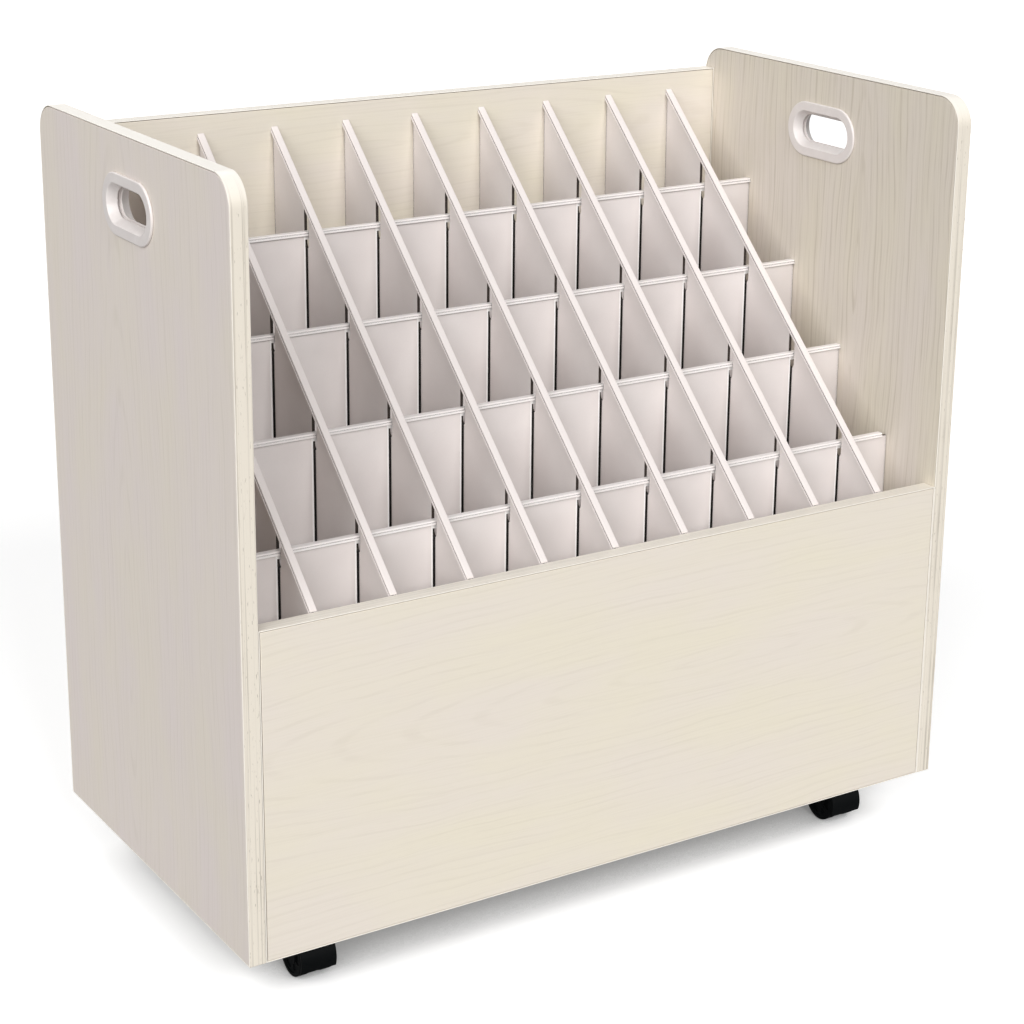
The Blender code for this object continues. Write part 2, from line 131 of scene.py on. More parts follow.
def drum(name, radius, bottom, top, vertices):
    """An upright cylinder on the Z axis between two heights."""
    bpy.ops.object.select_all(action="DESELECT")
    place = (0, 0, (bottom + top) / 2)
    bpy.ops.mesh.primitive_cylinder_add(vertices=vertices, radius=radius, depth=top - bottom, location=place)
    return named(name)


def edit(item):
    """Open a piece in edit mode with nothing selected."""
    alone(item)
    bpy.ops.object.mode_set(mode="EDIT")
    bpy.ops.mesh.select_all(action="DESELECT")


def close():
    """Merge what touches, turn all faces outwards and leave edit mode."""
    bpy.ops.mesh.select_all(action="SELECT")
    bpy.ops.mesh.remove_doubles(threshold=1e-6)
    bpy.ops.mesh.normals_make_consistent(inside=False)
    bpy.ops.object.mode_set(mode="OBJECT")


def pick(item, kind, test):
    """Select the vertices, edges or faces of the open piece that pass a test."""
    bpy.ops.mesh.select_mode(type=kind)
    bpy.ops.mesh.select_all(action="DESELECT")
    work = bmesh.from_edit_mesh(item.data)
    work.normal_update()
    parts = {"VERT": work.verts, "EDGE": work.edges, "FACE": work.faces}[kind]
    chosen = [part for part in parts if test(part)]
    if not chosen:
        raise RuntimeError("nothing was picked on " + item.name)
    for part in chosen:
        part.select_set(True)
    work.select_flush_mode()
    bmesh.update_edit_mesh(item.data)


def middle(part):
    """Middle of a vertex, edge or face."""
    points = [part] if isinstance(part, bmesh.types.BMVert) else part.verts
    return sum((vert.co for vert in points), Vector()) / len(points)


def facing(direction, level):
    """Test for faces that look in a direction and lie at a level along it."""
    way = Vector(direction)
    return lambda face: face.normal.dot(way) > 0.99 and abs(middle(face).dot(way) - level) < REACH


def at_height(level):
    """Test for edges that lie at a height."""
    return lambda edge: all(abs(vert.co.z - level) < REACH for vert in edge.verts)


def extrude(x=0, z=0):
    """Pull the selected faces out."""
    bpy.ops.mesh.extrude_region_move(TRANSFORM_OT_translate={"value": (x, 0, z)})


def round_over(width, segments):
    """Round the selected edges."""
    bpy.ops.mesh.bevel(offset=width, segments=segments, affect="EDGES", clamp_overlap=True)


def apply(item, kind, **settings):
    """Add a modifier with its settings and apply it."""
    modifier = item.modifiers.new(kind.title(), kind)
    for key, value in settings.items():
        setattr(modifier, key, value)
    alone(item)
    bpy.ops.object.modifier_apply(modifier=modifier.name)


def soften(item, width, segments=2, angle=50):
    """Break every sharp edge of a piece, and shade it as flat faces with smooth edges."""
    limit = math.radians(angle)
    apply(item, "BEVEL", width=width, segments=segments, limit_method="ANGLE", angle_limit=limit)
    smooth(item)


def smooth(item, angle=40):
    """Shade a piece smooth, with its broad faces kept flat."""
    alone(item)
    bpy.ops.object.shade_smooth_by_angle(angle=math.radians(angle))
    apply(item, "WEIGHTED_NORMAL", keep_sharp=True, weight=100)


def cut(item, cutter, operation="DIFFERENCE"):
    """Cut a piece with another, or join the other to it."""
    apply(item, "BOOLEAN", object=cutter, operation=operation, solver="EXACT")
    bpy.data.objects.remove(cutter)


def twin(item, name, matrix):
    """A copy of a piece with its own mesh, moved by a matrix."""
    copy = item.copy()
    copy.data = item.data.copy()
    copy.name = name
    copy.data.name = name
    bpy.context.scene.collection.objects.link(copy)
    copy.data.transform(matrix)
    copy.data.update()
    return copy


def stretch_round(item, straight):
    """Pull the two halves of a round piece apart along Y, so that it gets straight sides."""
    for sign in (1, -1):
        pick(item, "VERT", lambda vert: vert.co.y * sign > 0)
        bpy.ops.transform.translate(value=(0, sign * straight / 2, 0))


def fit_out(piece, material, body, slot, *nodes):
    """Give a piece its finish, its body and the model's nodes that it stands for."""
    piece.data.materials.clear()
    piece.data.materials.append(material)
    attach(piece, body)
    if nodes:
        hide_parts(*nodes)


def refinish(node, material):
    """Change the finish of a node that shows as the model has it."""
    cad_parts[node].material_slots[0].material = material


# Finishes


def add(tree, kind, settings=None, inputs=None):
    """Add a node with its settings, and its inputs as values or as links from other nodes."""
    item = tree.nodes.new(kind)
    for key, value in (settings or {}).items():
        setattr(item, key, value)
    for key, value in (inputs or {}).items():
        if isinstance(value, bpy.types.NodeSocket):
            tree.links.new(value, item.inputs[key])
        else:
            item.inputs[key].default_value = value
    return item


def begin(name, ior=1.5):
    """A new material, with its node tree, its Principled shader and its coordinates."""
    item = bpy.data.materials.new(name)
    item.use_nodes = True
    tree = item.node_tree
    shader = tree.nodes["Principled BSDF"]
    shader.inputs["IOR"].default_value = ior
    return item, tree, shader, add(tree, "ShaderNodeTexCoord").outputs


def noise(tree, place, size, detail, roughness, output="Fac"):
    """Noise with features of a size in millimetres, or of three sizes along X, Y and Z."""
    scale = 1
    if isinstance(size, tuple):
        place = add(tree, "ShaderNodeMapping", inputs={
            "Vector": place, "Scale": [repeat(length) for length in size]}).outputs["Vector"]
    else:
        scale = repeat(size)
    return add(tree, "ShaderNodeTexNoise", inputs={
        "Vector": place, "Scale": scale, "Detail": detail, "Roughness": roughness}).outputs[output]


def ramp(tree, value, low, high, bottom=0, top=1):
    """Bring a value between two limits to a value between two others."""
    return add(tree, "ShaderNodeMapRange", inputs={
        "Value": value, "From Min": low, "From Max": high, "To Min": bottom, "To Max": top}).outputs["Result"]


def blend(tree, share, first, second):
    """Mix two colours, by the second one's share."""
    return add(tree, "ShaderNodeMix", {"data_type": "RGBA"}, {
        "Factor": share, "A": first, "B": second}).outputs["Result"]


def calculate(tree, operation, *values, clamp=False):
    """One step of arithmetic."""
    return add(tree, "ShaderNodeMath", {"operation": operation, "use_clamp": clamp},
               dict(enumerate(values))).outputs["Value"]


def split(tree, vector):
    """The three parts of a vector."""
    return add(tree, "ShaderNodeSeparateXYZ", inputs={"Vector": vector}).outputs


def dress(tree, shader, colour, roughness, relief, depth, strength, raised=True):
    """Give a shader its colour, its roughness and its relief, which is so many metres deep."""
    bump = add(tree, "ShaderNodeBump", {"invert": not raised}, {
        "Height": relief, "Distance": depth, "Strength": strength})
    tree.links.new(colour, shader.inputs["Base Color"])
    tree.links.new(roughness, shader.inputs["Roughness"])
    tree.links.new(bump.outputs["Normal"], shader.inputs["Normal"])


def painted_crevice_shade(tree, colour, reach, open_share):
    """The colour with painted shade: turned dark where less than a share of the space in reach is open."""
    painted_light_mask = add(tree, "ShaderNodeAmbientOcclusion", {"samples": 6}, {"Distance": reach})
    return blend(tree, ramp(tree, painted_light_mask.outputs["AO"], open_share / 3, open_share, 0.95, 0),
                 colour, linear("#1E1B1A"))


def crossings(tree, place, axis, kind, half):
    """1 within half a width of the evenly spaced dividers of a kind, and 0 between them."""
    first, second = (getattr(centre(kind + number), axis.lower()) for number in ("_1", "_2"))
    start = calculate(tree, "SUBTRACT", split(tree, place)[axis], first)
    way = calculate(tree, "PINGPONG", start, (second - first) / 2)
    return calculate(tree, "LESS_THAN", way, half)


def melamine_laminate(name, colours, tone, turn, ovals, slice_depth, cloud, contrast):
    """Melamine laminate on board, printed and embossed as pale flat-sawn wood.

    The eye sees a satin cream with soft clouds, and fine broken growth lines nested in long ovals.
    The tone scales the colours, as painted light and shade that suits each board's brightness to how light
    falls on it. The ovals' middle and the slice choose the board's place in the print.
    """
    item, tree, shader, at = begin(name)
    # The grain runs along X, the board's width along Y, and the ovals lie round their middle
    grain = add(tree, "ShaderNodeMapping", inputs={
        "Vector": at["Object"], "Rotation": turn,
        "Location": (-ovals[0], -ovals[1], slice_depth)}).outputs["Vector"]
    # The grain wanders up to 14 mm sideways in 260 mm
    wander = noise(tree, grain, (260, 90, 90), 3, 0.5, "Color")
    bent = add(tree, "ShaderNodeVectorMath", {"operation": "MULTIPLY_ADD"}, {
        0: wander, 1: (0, 0.028, 0), 2: grain}).outputs["Vector"]
    # The ovals are 9 times as long as wide, and their lines 8 mm apart
    oval = add(tree, "ShaderNodeMapping", inputs={"Vector": bent, "Scale": (1 / 9, 1, 0)})
    rings = add(tree, "ShaderNodeTexWave", {"wave_type": "RINGS", "rings_direction": "Z"}, {
        "Vector": oval.outputs["Vector"], "Scale": math.pi / 10 * repeat(8), "Distortion": 2.5,
        "Detail": 2, "Detail Scale": 0.3})
    # Each line breaks up over 80 mm of its length
    breaks = noise(tree, bent, (80, 9, 9), 2, 0.6)
    line = calculate(tree, "MULTIPLY", ramp(tree, rings.outputs["Fac"], 0.78, 0.99),
                     ramp(tree, breaks, 0.38, 0.66))
    # Fine streaks between the lines are 1.4 mm wide and 140 mm long
    streaks = noise(tree, bent, (140, 1.4, 1.4), 2, 0.55)
    marks = calculate(tree, "ADD", line, ramp(tree, streaks, 0.46, 0.72, 0, 0.6), clamp=True)
    # The clouds of the print are about 150 mm long and 60 mm wide
    clouds = noise(tree, bent, (150, 60, 60), 3, 0.5)
    printed = blend(tree, ramp(tree, clouds, 0.34, 0.66, max(cloud - 0.5, 0), cloud),
                    [channel * tone for channel in colours.laminate],
                    [channel * tone for channel in colours.laminate_cloud])
    colour = blend(tree, calculate(tree, "MULTIPLY", marks, contrast), printed, colours.laminate_line)
    # The embossing is 0.05 mm deep
    sheen = ramp(tree, streaks, 0.3, 0.7, 0.40, 0.54)
    dress(tree, shader, colour, sheen, marks, depth=0.00005, strength=0.6, raised=False)
    return item


def abs_edge_band(name, colours, across, top_highlight_share):
    """ABS edge band, printed with straight grain and glued on.

    The eye sees a smooth satin strip with fine grey lines and pores along it, with a painted highlight on its
    top and on its trimmed arrises.
    """
    item, tree, shader, at = begin(name)
    # Lines are about 1.3 mm apart and 400 mm long, and fade in and out over 45 mm
    lines = noise(tree, at["Object"], tuple(1.3 if axis == across else 400 for axis in "XYZ"), 2, 0.5)
    breaks = noise(tree, at["Object"], 45, 2, 0.5)
    share = calculate(tree, "MULTIPLY", ramp(tree, lines, 0.50, 0.68, 0, 0.6),
                      ramp(tree, breaks, 0.35, 0.6, 0.5, 1))
    # Pores are 0.9 mm wide and 6 mm long
    pores = noise(tree, at["Object"], tuple(0.9 if axis == across else 6 for axis in "XYZ"), 1, 0.5)
    marks = calculate(tree, "MAXIMUM", share, ramp(tree, pores, 0.68, 0.78, 0, 0.7))
    printed = blend(tree, marks, colours.edge_band, colours.edge_line)
    # Painted highlight on the arris, where the surface turns from the edge to the face, and on the top
    normal = split(tree, at["Normal"])
    arris_highlight = ramp(tree, calculate(tree, "ABSOLUTE", normal[across]), 0.1, 0.4)
    painted_highlight = calculate(tree, "MAXIMUM", arris_highlight, ramp(tree, normal["Z"], 0.2, 0.9, 0, top_highlight_share))
    colour = blend(tree, painted_highlight, printed, linear("#F7F2E9"))
    sheen = ramp(tree, lines, 0.3, 0.7, 0.34, 0.46)
    dress(tree, shader, colour, sheen, marks, depth=0.00003, strength=0.5, raised=False)
    return item


def painted_fibreboard(name, base, shade, across):
    """Hard fibreboard with a rolled pale grey paint.

    The eye sees a matt, faintly mottled and finely pebbled face, and dark raw edges, with painted shade in
    joints and slots and a painted highlight along slots.
    """
    item, tree, shader, at = begin(name)
    # The paint clouds over 60 mm, and its roller texture is 1.5 mm
    clouds = noise(tree, at["Object"], 60, 3, 0.5)
    pebbles = noise(tree, at["Object"], 1.5, 2, 0.6)
    tone = calculate(tree, "MULTIPLY_ADD", pebbles, 0.3, ramp(tree, clouds, 0.35, 0.7, 0, 0.7), clamp=True)
    paint = blend(tree, tone, base, shade)
    # Only the two broad faces are painted
    level = calculate(tree, "ABSOLUTE", split(tree, at["Normal"])[across])
    board_colour = blend(tree, calculate(tree, "LESS_THAN", level, 0.5), paint, linear("#3B322C"))
    # A level board gets a painted highlight along its sawn slots, and a sloped one a strip of painted shade
    # inside them
    highlight_width, shade_strip_half = 0.0015, 0.0023
    if across == "Y":
        painted_light_mask, painted_light_colour = crossings(tree, at["Object"], "X", "column_divider", SLOT_HALF + highlight_width), "#FBF8F6"
    else:
        painted_light_mask, painted_light_colour = crossings(tree, at["Object"], "Y", "row_divider", shade_strip_half), "#14100F"
    # Painted shade darkens the board where other surfaces close in on it
    shaded = painted_crevice_shade(tree, board_colour, reach=0.005, open_share=0.7)
    sheen = ramp(tree, pebbles, 0.3, 0.7, 0.62, 0.76)
    dress(tree, shader, blend(tree, painted_light_mask, shaded, linear(painted_light_colour)), sheen, pebbles, depth=0.00004, strength=0.5)
    return item


def extruded_pvc(name, base, shade, size, open_share):
    """PVC, extruded: white with a soft gloss, and fine draw lines that run the whole length."""
    item, tree, shader, at = begin(name, 1.53)
    draw = noise(tree, at["Object"], size, 2, 0.6)
    drawn = blend(tree, ramp(tree, draw, 0.35, 0.7, 0, 0.6), base, shade)
    # Painted shade darkens the moulding's groove and its joint against the board
    colour = painted_crevice_shade(tree, drawn, reach=0.0011, open_share=open_share)
    sheen = ramp(tree, draw, 0.3, 0.7, 0.28, 0.40)
    dress(tree, shader, colour, sheen, draw, depth=0.00003, strength=0.4)
    return item


def moulded_plastic(name, base, worn, grain, gloss, shine, wear):
    """Plastic, injection moulded in a finely etched tool.

    The eye sees an even satin skin, a little lighter where it is rubbed.
    """
    item, tree, shader, at = begin(name)
    etched = noise(tree, at["Object"], grain, 2, 0.6)
    # Rubbed and dusty patches are about 12 mm across
    patches = noise(tree, at["Object"], 12, 4, 0.6)
    colour = blend(tree, ramp(tree, patches, 0.45, 0.75, 0, wear), base, worn)
    sheen = ramp(tree, patches, 0.3, 0.7, gloss, gloss + 0.1)
    dress(tree, shader, colour, sheen, etched, depth=0.00004, strength=0.4)
    shader.inputs["Specular IOR Level"].default_value = shine
    return item


def zinc_plated_steel(name, base, dull):
    """Steel, pressed or turned and zinc plated: pale bluish grey, with soft cloudy reflections."""
    item, tree, shader, at = begin(name)
    spangle = noise(tree, at["Object"], 5, 4, 0.6)
    colour = blend(tree, ramp(tree, spangle, 0.35, 0.7), base, dull)
    sheen = ramp(tree, spangle, 0.3, 0.7, 0.28, 0.46)
    dress(tree, shader, colour, sheen, spangle, depth=0.00003, strength=0.4)
    shader.inputs["Metallic"].default_value = 1
    return item


# What a user would change


def colour_setting(name, description, hex_colour):
    """A colour that a user can change."""
    return FloatVectorProperty(
        name=name, description=description, subtype="COLOR", size=4, min=0, max=1, default=linear(hex_colour))


def length_setting(name, description, default, low, high):
    """A length in metres that a user can change."""
    return FloatProperty(
        name=name, description=description, unit="LENGTH", default=default, min=low, max=high)


class OrganizerColours(PropertyGroup):
    """Colours of the organizer's finishes"""

    laminate: colour_setting("Laminate", "Light wood of the laminate", "#EBE3D1")
    laminate_cloud: colour_setting("Laminate clouds", "Soft clouds of the laminate's print", "#E9DFDA")
    laminate_line: colour_setting("Laminate lines", "Growth lines of the laminate's print", "#B5A996")
    edge_band: colour_setting("Edge band", "Edge band of the boards", "#E9E1D3")
    edge_line: colour_setting("Edge band lines", "Grain lines of the edge band", "#A1978A")
    fibreboard: colour_setting("Fibreboard", "Painted divider boards", "#E4DDDA")
    fibreboard_shade: colour_setting("Fibreboard shade", "Clouds in the dividers' paint", "#DAD2CF")
    moulding: colour_setting("Moulding", "Edge moulding of the level dividers", "#FAF6F4")
    # Painted shade: the sloped mouldings take this darker colour all over, the level ones only in their draw
    # lines
    moulding_shade: colour_setting(
        "Moulding shade", "Sloped mouldings, and the draw lines of the level ones", "#E8E0DD")
    grip: colour_setting("Hand grip", "Plastic of the hand grips", "#E9E2DF")
    caster: colour_setting("Caster", "Black plastic of the casters", "#060809")
    steel: colour_setting("Steel", "Zinc plated steel", "#C4C6C8")


class OrganizerSizes(PropertyGroup):
    """Sizes of the organizer's small details"""

    band: length_setting("Edge band thickness", "Thickness of the edge band", 0.001, 0.0004, 0.003)
    band_round: length_setting(
        "Edge band rounding", "Radius of the edge band's corners", 0.0009, 0.0001, 0.002)
    glue_line: length_setting(
        "Glue line", "Dark line between the edge band and the laminate", 0.0005, 0.0001, 0.001)
    corner: length_setting("Side corner", "Radius of the side panels' top corners", 0.027, 0.005, 0.06)
    cap_round: length_setting(
        "Moulding rounding", "Radius along the top of the edge moulding", 0.0006, 0.0002, 0.001)
    grip_rim: length_setting("Grip rim", "Rounding of the hand grip's outer rim", 0.0012, 0.0003, 0.002)
    screw_head: length_setting("Screw head", "Radius of the caster screws' heads", 0.0035, 0.002, 0.005)


# Pieces


def round_corners(item, radius):
    """Round the two top corners of the open side board."""
    top = max(vert.co.z for vert in bmesh.from_edit_mesh(item.data).verts)
    pick(item, "EDGE", lambda edge: (
        middle(edge).z > top - REACH and abs(edge.verts[0].co.y - edge.verts[1].co.y) < REACH))
    round_over(radius, 14)


def edge_band(name, low, high, thickness, rounding, corner):
    """Strip glued round the four edges of a board, which is thin along X or Y."""
    item = block(name, low, high)
    size = Vector(high) - Vector(low)
    thin = 0 if size.x < size.y else 1
    edit(item)
    if corner:
        round_corners(item, corner)
    pick(item, "FACE", lambda face: abs(face.normal[thin]) > 0.9)
    bpy.ops.mesh.delete(type="FACE")
    bpy.ops.object.mode_set(mode="OBJECT")
    apply(item, "SOLIDIFY", thickness=thickness - JOINT, offset=-1, use_even_offset=True)
    soften(item, rounding, 3)
    return item


def board(name, low, high, inset, corner):
    """Laminated board inside its edge band, thin along X or Y."""
    thin = 0 if high[0] - low[0] < high[1] - low[1] else 1
    low = [value + (0 if axis == thin else inset) for axis, value in enumerate(low)]
    high = [value - (0 if axis == thin else inset) for axis, value in enumerate(high)]
    item = block(name, low, high)
    if corner:
        edit(item)
        round_corners(item, corner - inset)
        close()
    return item


def grip_ring(name, straight, rim):
    """One ring of a hand grip, facing up: a flat flange with a rounded rim round a funnel."""
    flange, mouth, lip, throat, channel, sleeve = 0.02775, 0.0187, 0.0177, 0.0135, 0.0160, 0.0205
    under, top, back, end, throat_round = 0.0003, 0.0025, -0.0062, -0.00785, 0.0008
    bpy.ops.object.select_all(action="DESELECT")
    bpy.ops.mesh.primitive_circle_add(
        vertices=GRIP_VERTICES, radius=flange, fill_type="NGON", location=(0, 0, under))
    item = named(name)
    edit(item)
    stretch_round(item, straight)
    pick(item, "FACE", lambda face: True)
    extrude(z=top - under)
    pick(item, "FACE", lambda face: len(face.verts) > 4 and middle(face).z > top - REACH)
    bpy.ops.mesh.inset(thickness=flange - mouth)
    bpy.ops.mesh.inset(thickness=mouth - lip, depth=lip - mouth)
    bpy.ops.mesh.inset(thickness=lip - throat, depth=back - top + mouth - lip)
    # The two rings of a grip leave a channel between their throats, which shows as a dark line
    pick(item, "FACE", lambda face: len(face.verts) > 4 and abs(middle(face).z - under) < REACH)
    bpy.ops.mesh.inset(thickness=flange - sleeve)
    extrude(z=end - under)
    bpy.ops.mesh.inset(thickness=sleeve - channel)
    extrude(z=back - end)
    pick(item, "FACE", lambda face: len(face.verts) > 4 and abs(middle(face).z - back) < REACH)
    bpy.ops.mesh.delete(type="ONLY_FACE")
    pick(item, "EDGE", at_height(back))
    bpy.ops.mesh.bridge_edge_loops()
    bpy.ops.mesh.select_all(action="SELECT")
    bpy.ops.mesh.normals_make_consistent(inside=False)

    def width_at(vert, half_width):
        past = max(abs(vert.co.y) - straight / 2, 0)
        return math.sqrt(max(half_width ** 2 - past ** 2, 0))

    def outline(edge, height, half_width):
        slack = 0.00025
        return at_height(height)(edge) and all(
            abs(abs(vert.co.x) - width_at(vert, half_width)) < slack for vert in edge.verts)

    pick(item, "EDGE", lambda edge: outline(edge, top, flange))
    round_over(rim, 5)
    pick(item, "EDGE", lambda edge: outline(edge, back, throat))
    round_over(throat_round, 4)
    close()
    soften(item, ARRIS / 2, 2, 60)
    return item


def moulding(name, length, rounding):
    """Straight edge moulding along Y, top at the origin: a cap over two beaded legs that grip the board."""
    wide, thick = 0.0034, 0.0014
    inside, neck, outside, leg, groove = 0.0018, 0.0026, 0.0040, 0.0026, 0.0009
    item = block(name, (-wide, -length / 2, -thick), (wide, length / 2, 0))
    edit(item)
    for plane in (-neck, -inside, inside, neck):
        bpy.ops.mesh.select_all(action="SELECT")
        bpy.ops.mesh.bisect(plane_co=(plane, 0, 0), plane_no=(1, 0, 0))
    pick(item, "FACE", lambda face: face.normal.z < -0.9 and inside < abs(middle(face).x) < neck)
    extrude(z=-groove)
    extrude(z=groove - leg)
    bead = -thick - (groove + leg) / 2
    for sign in (1, -1):
        spot = Vector((sign * neck, 0, bead))
        pick(item, "FACE", lambda face: face.normal.x * sign > 0.9 and (middle(face) - spot).length < REACH)
        extrude(x=sign * (outside - neck))
    pick(item, "EDGE", lambda edge: (
        abs(middle(edge).y) < REACH and abs(abs(middle(edge).x) - wide) < REACH and middle(edge).z > -REACH))
    round_over(rounding, 5)
    close()
    return item


class ORGANIZER_OT_stage(Operator):
    """Make the floor, the light, the white background and the camera"""

    bl_idname = "organizer.stage"
    bl_label = "Stage"

    def execute(self, context):
        context.scene.view_settings.view_transform = "Standard"
        self.floor()
        self.background(context.scene)
        self.lamps(context.scene)
        self.camera(context.scene)
        return {"FINISHED"}

    def floor(self):
        """Paper that the camera sees at full white, with the shadow under the cabinet in soft grey, deepened
        by a painted shadow.
        """
        bpy.ops.object.select_all(action="DESELECT")
        bpy.ops.mesh.primitive_plane_add(size=60, location=(0, 0, 0))
        floor = named("floor")
        paper = bpy.data.materials.new("Matt white paper floor")
        paper.use_nodes = True
        tree = paper.node_tree
        tree.nodes.clear()
        # The pieces are lit by a grey floor
        lit = add(tree, "ShaderNodeBsdfDiffuse", inputs={"Color": (0.36, 0.36, 0.36, 1)})
        # Painted shadow: to the camera the floor turns grey where the cabinet closes in the space above it
        painted_light_mask = add(tree, "ShaderNodeAmbientOcclusion", {"samples": 16}, {"Distance": 0.16})
        under = add(tree, "ShaderNodeMapRange", {"interpolation_type": "SMOOTHSTEP"}, {
            "Value": painted_light_mask.outputs["AO"], "From Min": 0.10, "From Max": 0.38, "To Min": 0.4, "To Max": 1})
        seen = add(tree, "ShaderNodeBsdfDiffuse", inputs={"Color": under.outputs["Result"]})
        glow = add(tree, "ShaderNodeEmission", inputs={"Color": under.outputs["Result"], "Strength": 0.38})
        bright = add(tree, "ShaderNodeAddShader", inputs={
            0: seen.outputs["BSDF"], 1: glow.outputs["Emission"]})
        path = add(tree, "ShaderNodeLightPath")
        mixed = add(tree, "ShaderNodeMixShader", inputs={
            0: path.outputs["Is Camera Ray"], 1: lit.outputs["BSDF"], 2: bright.outputs["Shader"]})
        add(tree, "ShaderNodeOutputMaterial", inputs={"Surface": mixed.outputs["Shader"]})
        floor.data.materials.append(paper)

    def background(self, scene):
        """White to the camera and in reflections, and a weak light on the pieces."""
        world = bpy.data.worlds.new("White studio")
        scene.world = world
        world.use_nodes = True
        tree = world.node_tree
        tree.nodes.clear()
        path = add(tree, "ShaderNodeLightPath").outputs
        direct = calculate(tree, "MAXIMUM", path["Is Camera Ray"], path["Is Glossy Ray"])
        shown = calculate(tree, "MAXIMUM", direct, path["Is Transmission Ray"])
        sky = add(tree, "ShaderNodeBackground", inputs={
            "Color": (1, 1, 1, 1), "Strength": ramp(tree, shown, 0, 1, 0.08, 1)})
        add(tree, "ShaderNodeOutputWorld", inputs={"Surface": sky.outputs["Background"]})

    def lamps(self, scene):
        """A soft lamp over the front, one on the left, and a weak one behind for the top edges."""
        for name, energy, spread, way in (
                ("key_lamp", 1.80, 24, (-0.045, -0.865, 0.5)),
                ("side_lamp", 2.30, 50, (-0.74, -0.48, 0.48)),
                ("back_lamp", 0.65, 40, (0.25, 0.72, 0.64))):
            data = bpy.data.lights.new(name, "SUN")
            data.energy = energy
            data.angle = math.radians(spread)
            lamp = bpy.data.objects.new(name, data)
            lamp.rotation_euler = Vector(way).to_track_quat("Z", "Y").to_euler()
            scene.collection.objects.link(lamp)

    def camera(self, scene):
        """The photo's camera, from a fit to the corners of the cabinet."""
        data = bpy.data.cameras.new("camera")
        data.lens = 83.94
        data.sensor_width = 36
        data.shift_x = -0.0078
        data.shift_y = -0.0801
        data.clip_end = 100
        camera = bpy.data.objects.new("camera", data)
        camera.location = (-1.16426, -1.86249, 1.11018)
        camera.rotation_euler = [math.radians(turn) for turn in (72.6296, -0.579, -32.082)]
        scene.collection.objects.link(camera)
        scene.camera = camera


class ORGANIZER_OT_panels(Operator):
    """Make the laminated boards and their edge bands"""

    bl_idname = "organizer.panels"
    bl_label = "Panels"

    def execute(self, context):
        colours, sizes = context.scene.organizer_colours, context.scene.organizer_sizes
        side_band = abs_edge_band("ABS edge band of the sides", colours, "X", top_highlight_share=0.95)
        cross_band = abs_edge_band("ABS edge band of the front and back", colours, "Y", top_highlight_share=0.4)
        # Grain runs up the sides and along the others, each board cut from another place in the print
        upright, level, flat = (0, math.pi / 2, 0), (math.pi / 2, 0, 0), (0, 0, 0)
        looks = {}
        # Each board's tone is painted light and shade that suits its brightness to how light falls on it
        for node, place, tone, turn, ovals, slice_depth, cloud, contrast in (
                ("side_panel_left", "left side", 1.02, upright, (0.25, 0.05), 0.4, 1, 0.13),
                ("side_panel_right", "right side", 0.91, upright, (0.55, -0.05), 1.7, 0.6, 0.4),
                ("front_panel", "front", 0.96, level, (0.10, -0.22), 2.2, 0.5, 0.11),
                ("back_panel", "back", 0.9, level, (-0.05, -0.66), 3.9, 0.5, 0.13),
                ("bottom_panel", "bottom", 1, flat, (0.1, 0.05), 5.1, 0.5, 0.13)):
            looks[node] = melamine_laminate(
                "Laminate of the " + place, colours, tone, turn, ovals, slice_depth, cloud, contrast)
        for node in ("side_panel_left", "side_panel_right", "front_panel", "back_panel"):
            low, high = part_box(node)
            side = node.startswith("side")
            corner = sizes.corner if side else 0
            core = board(node + "_board", low, high, sizes.band + sizes.glue_line, corner)
            if side:
                self.cut_hand_hole(core, node)
            soften(core, ARRIS, 1)
            band = edge_band(node + "_edge_band", low, high, sizes.band, sizes.band_round, corner)
            fit_out(core, looks[node], "cabinet", "laminate", node)
            fit_out(band, side_band if side else cross_band, "cabinet", "laminate", node)
        refinish("bottom_panel", looks["bottom_panel"])
        return {"FINISHED"}

    def cut_hand_hole(self, core, node):
        """Cut the slot that holds a hand grip through a side board."""
        radius = 0.0208
        low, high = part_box(node)
        reach = (high.x - low.x) / 2 + OVERRUN
        slot = drum(node + "_slot", radius, -reach, reach, GRIP_VERTICES)
        edit(slot)
        stretch_round(slot, GRIP_STRAIGHT)
        close()
        height = centre(node.replace("side_panel", "hand_grip") + "_outer").z
        place = Matrix.Translation((centre(node).x, 0, height))
        slot.data.transform(place @ Matrix.Rotation(math.pi / 2, 4, "Y"))
        cut(core, slot)


class ORGANIZER_OT_grips(Operator):
    """Make the four rings of the two hand grips"""

    bl_idname = "organizer.grips"
    bl_label = "Hand grips"

    def execute(self, context):
        colours, sizes = context.scene.organizer_colours, context.scene.organizer_sizes
        look = moulded_plastic(
            "ABS of the hand grips", colours.grip, linear("#F2EDEA"),
            grain=0.9, gloss=0.30, shine=0.5, wear=0.5)
        ring = grip_ring("hand_grip", GRIP_STRAIGHT, sizes.grip_rim)
        for side in ("left", "right"):
            panel_low, panel_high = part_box("side_panel_" + side)
            for face in ("outer", "inner"):
                node = "hand_grip_{}_{}".format(side, face)
                outwards = 1 if (side == "right") == (face == "outer") else -1
                surface = panel_high.x if outwards > 0 else panel_low.x
                turn = Matrix.Rotation(outwards * math.pi / 2, 4, "Y")
                place = Matrix.Translation((surface, 0, centre(node).z))
                piece = twin(ring, node + "_ring", place @ turn)
                fit_out(piece, look, "cabinet", "grip_plastic", node)
        bpy.data.objects.remove(ring)
        return {"FINISHED"}


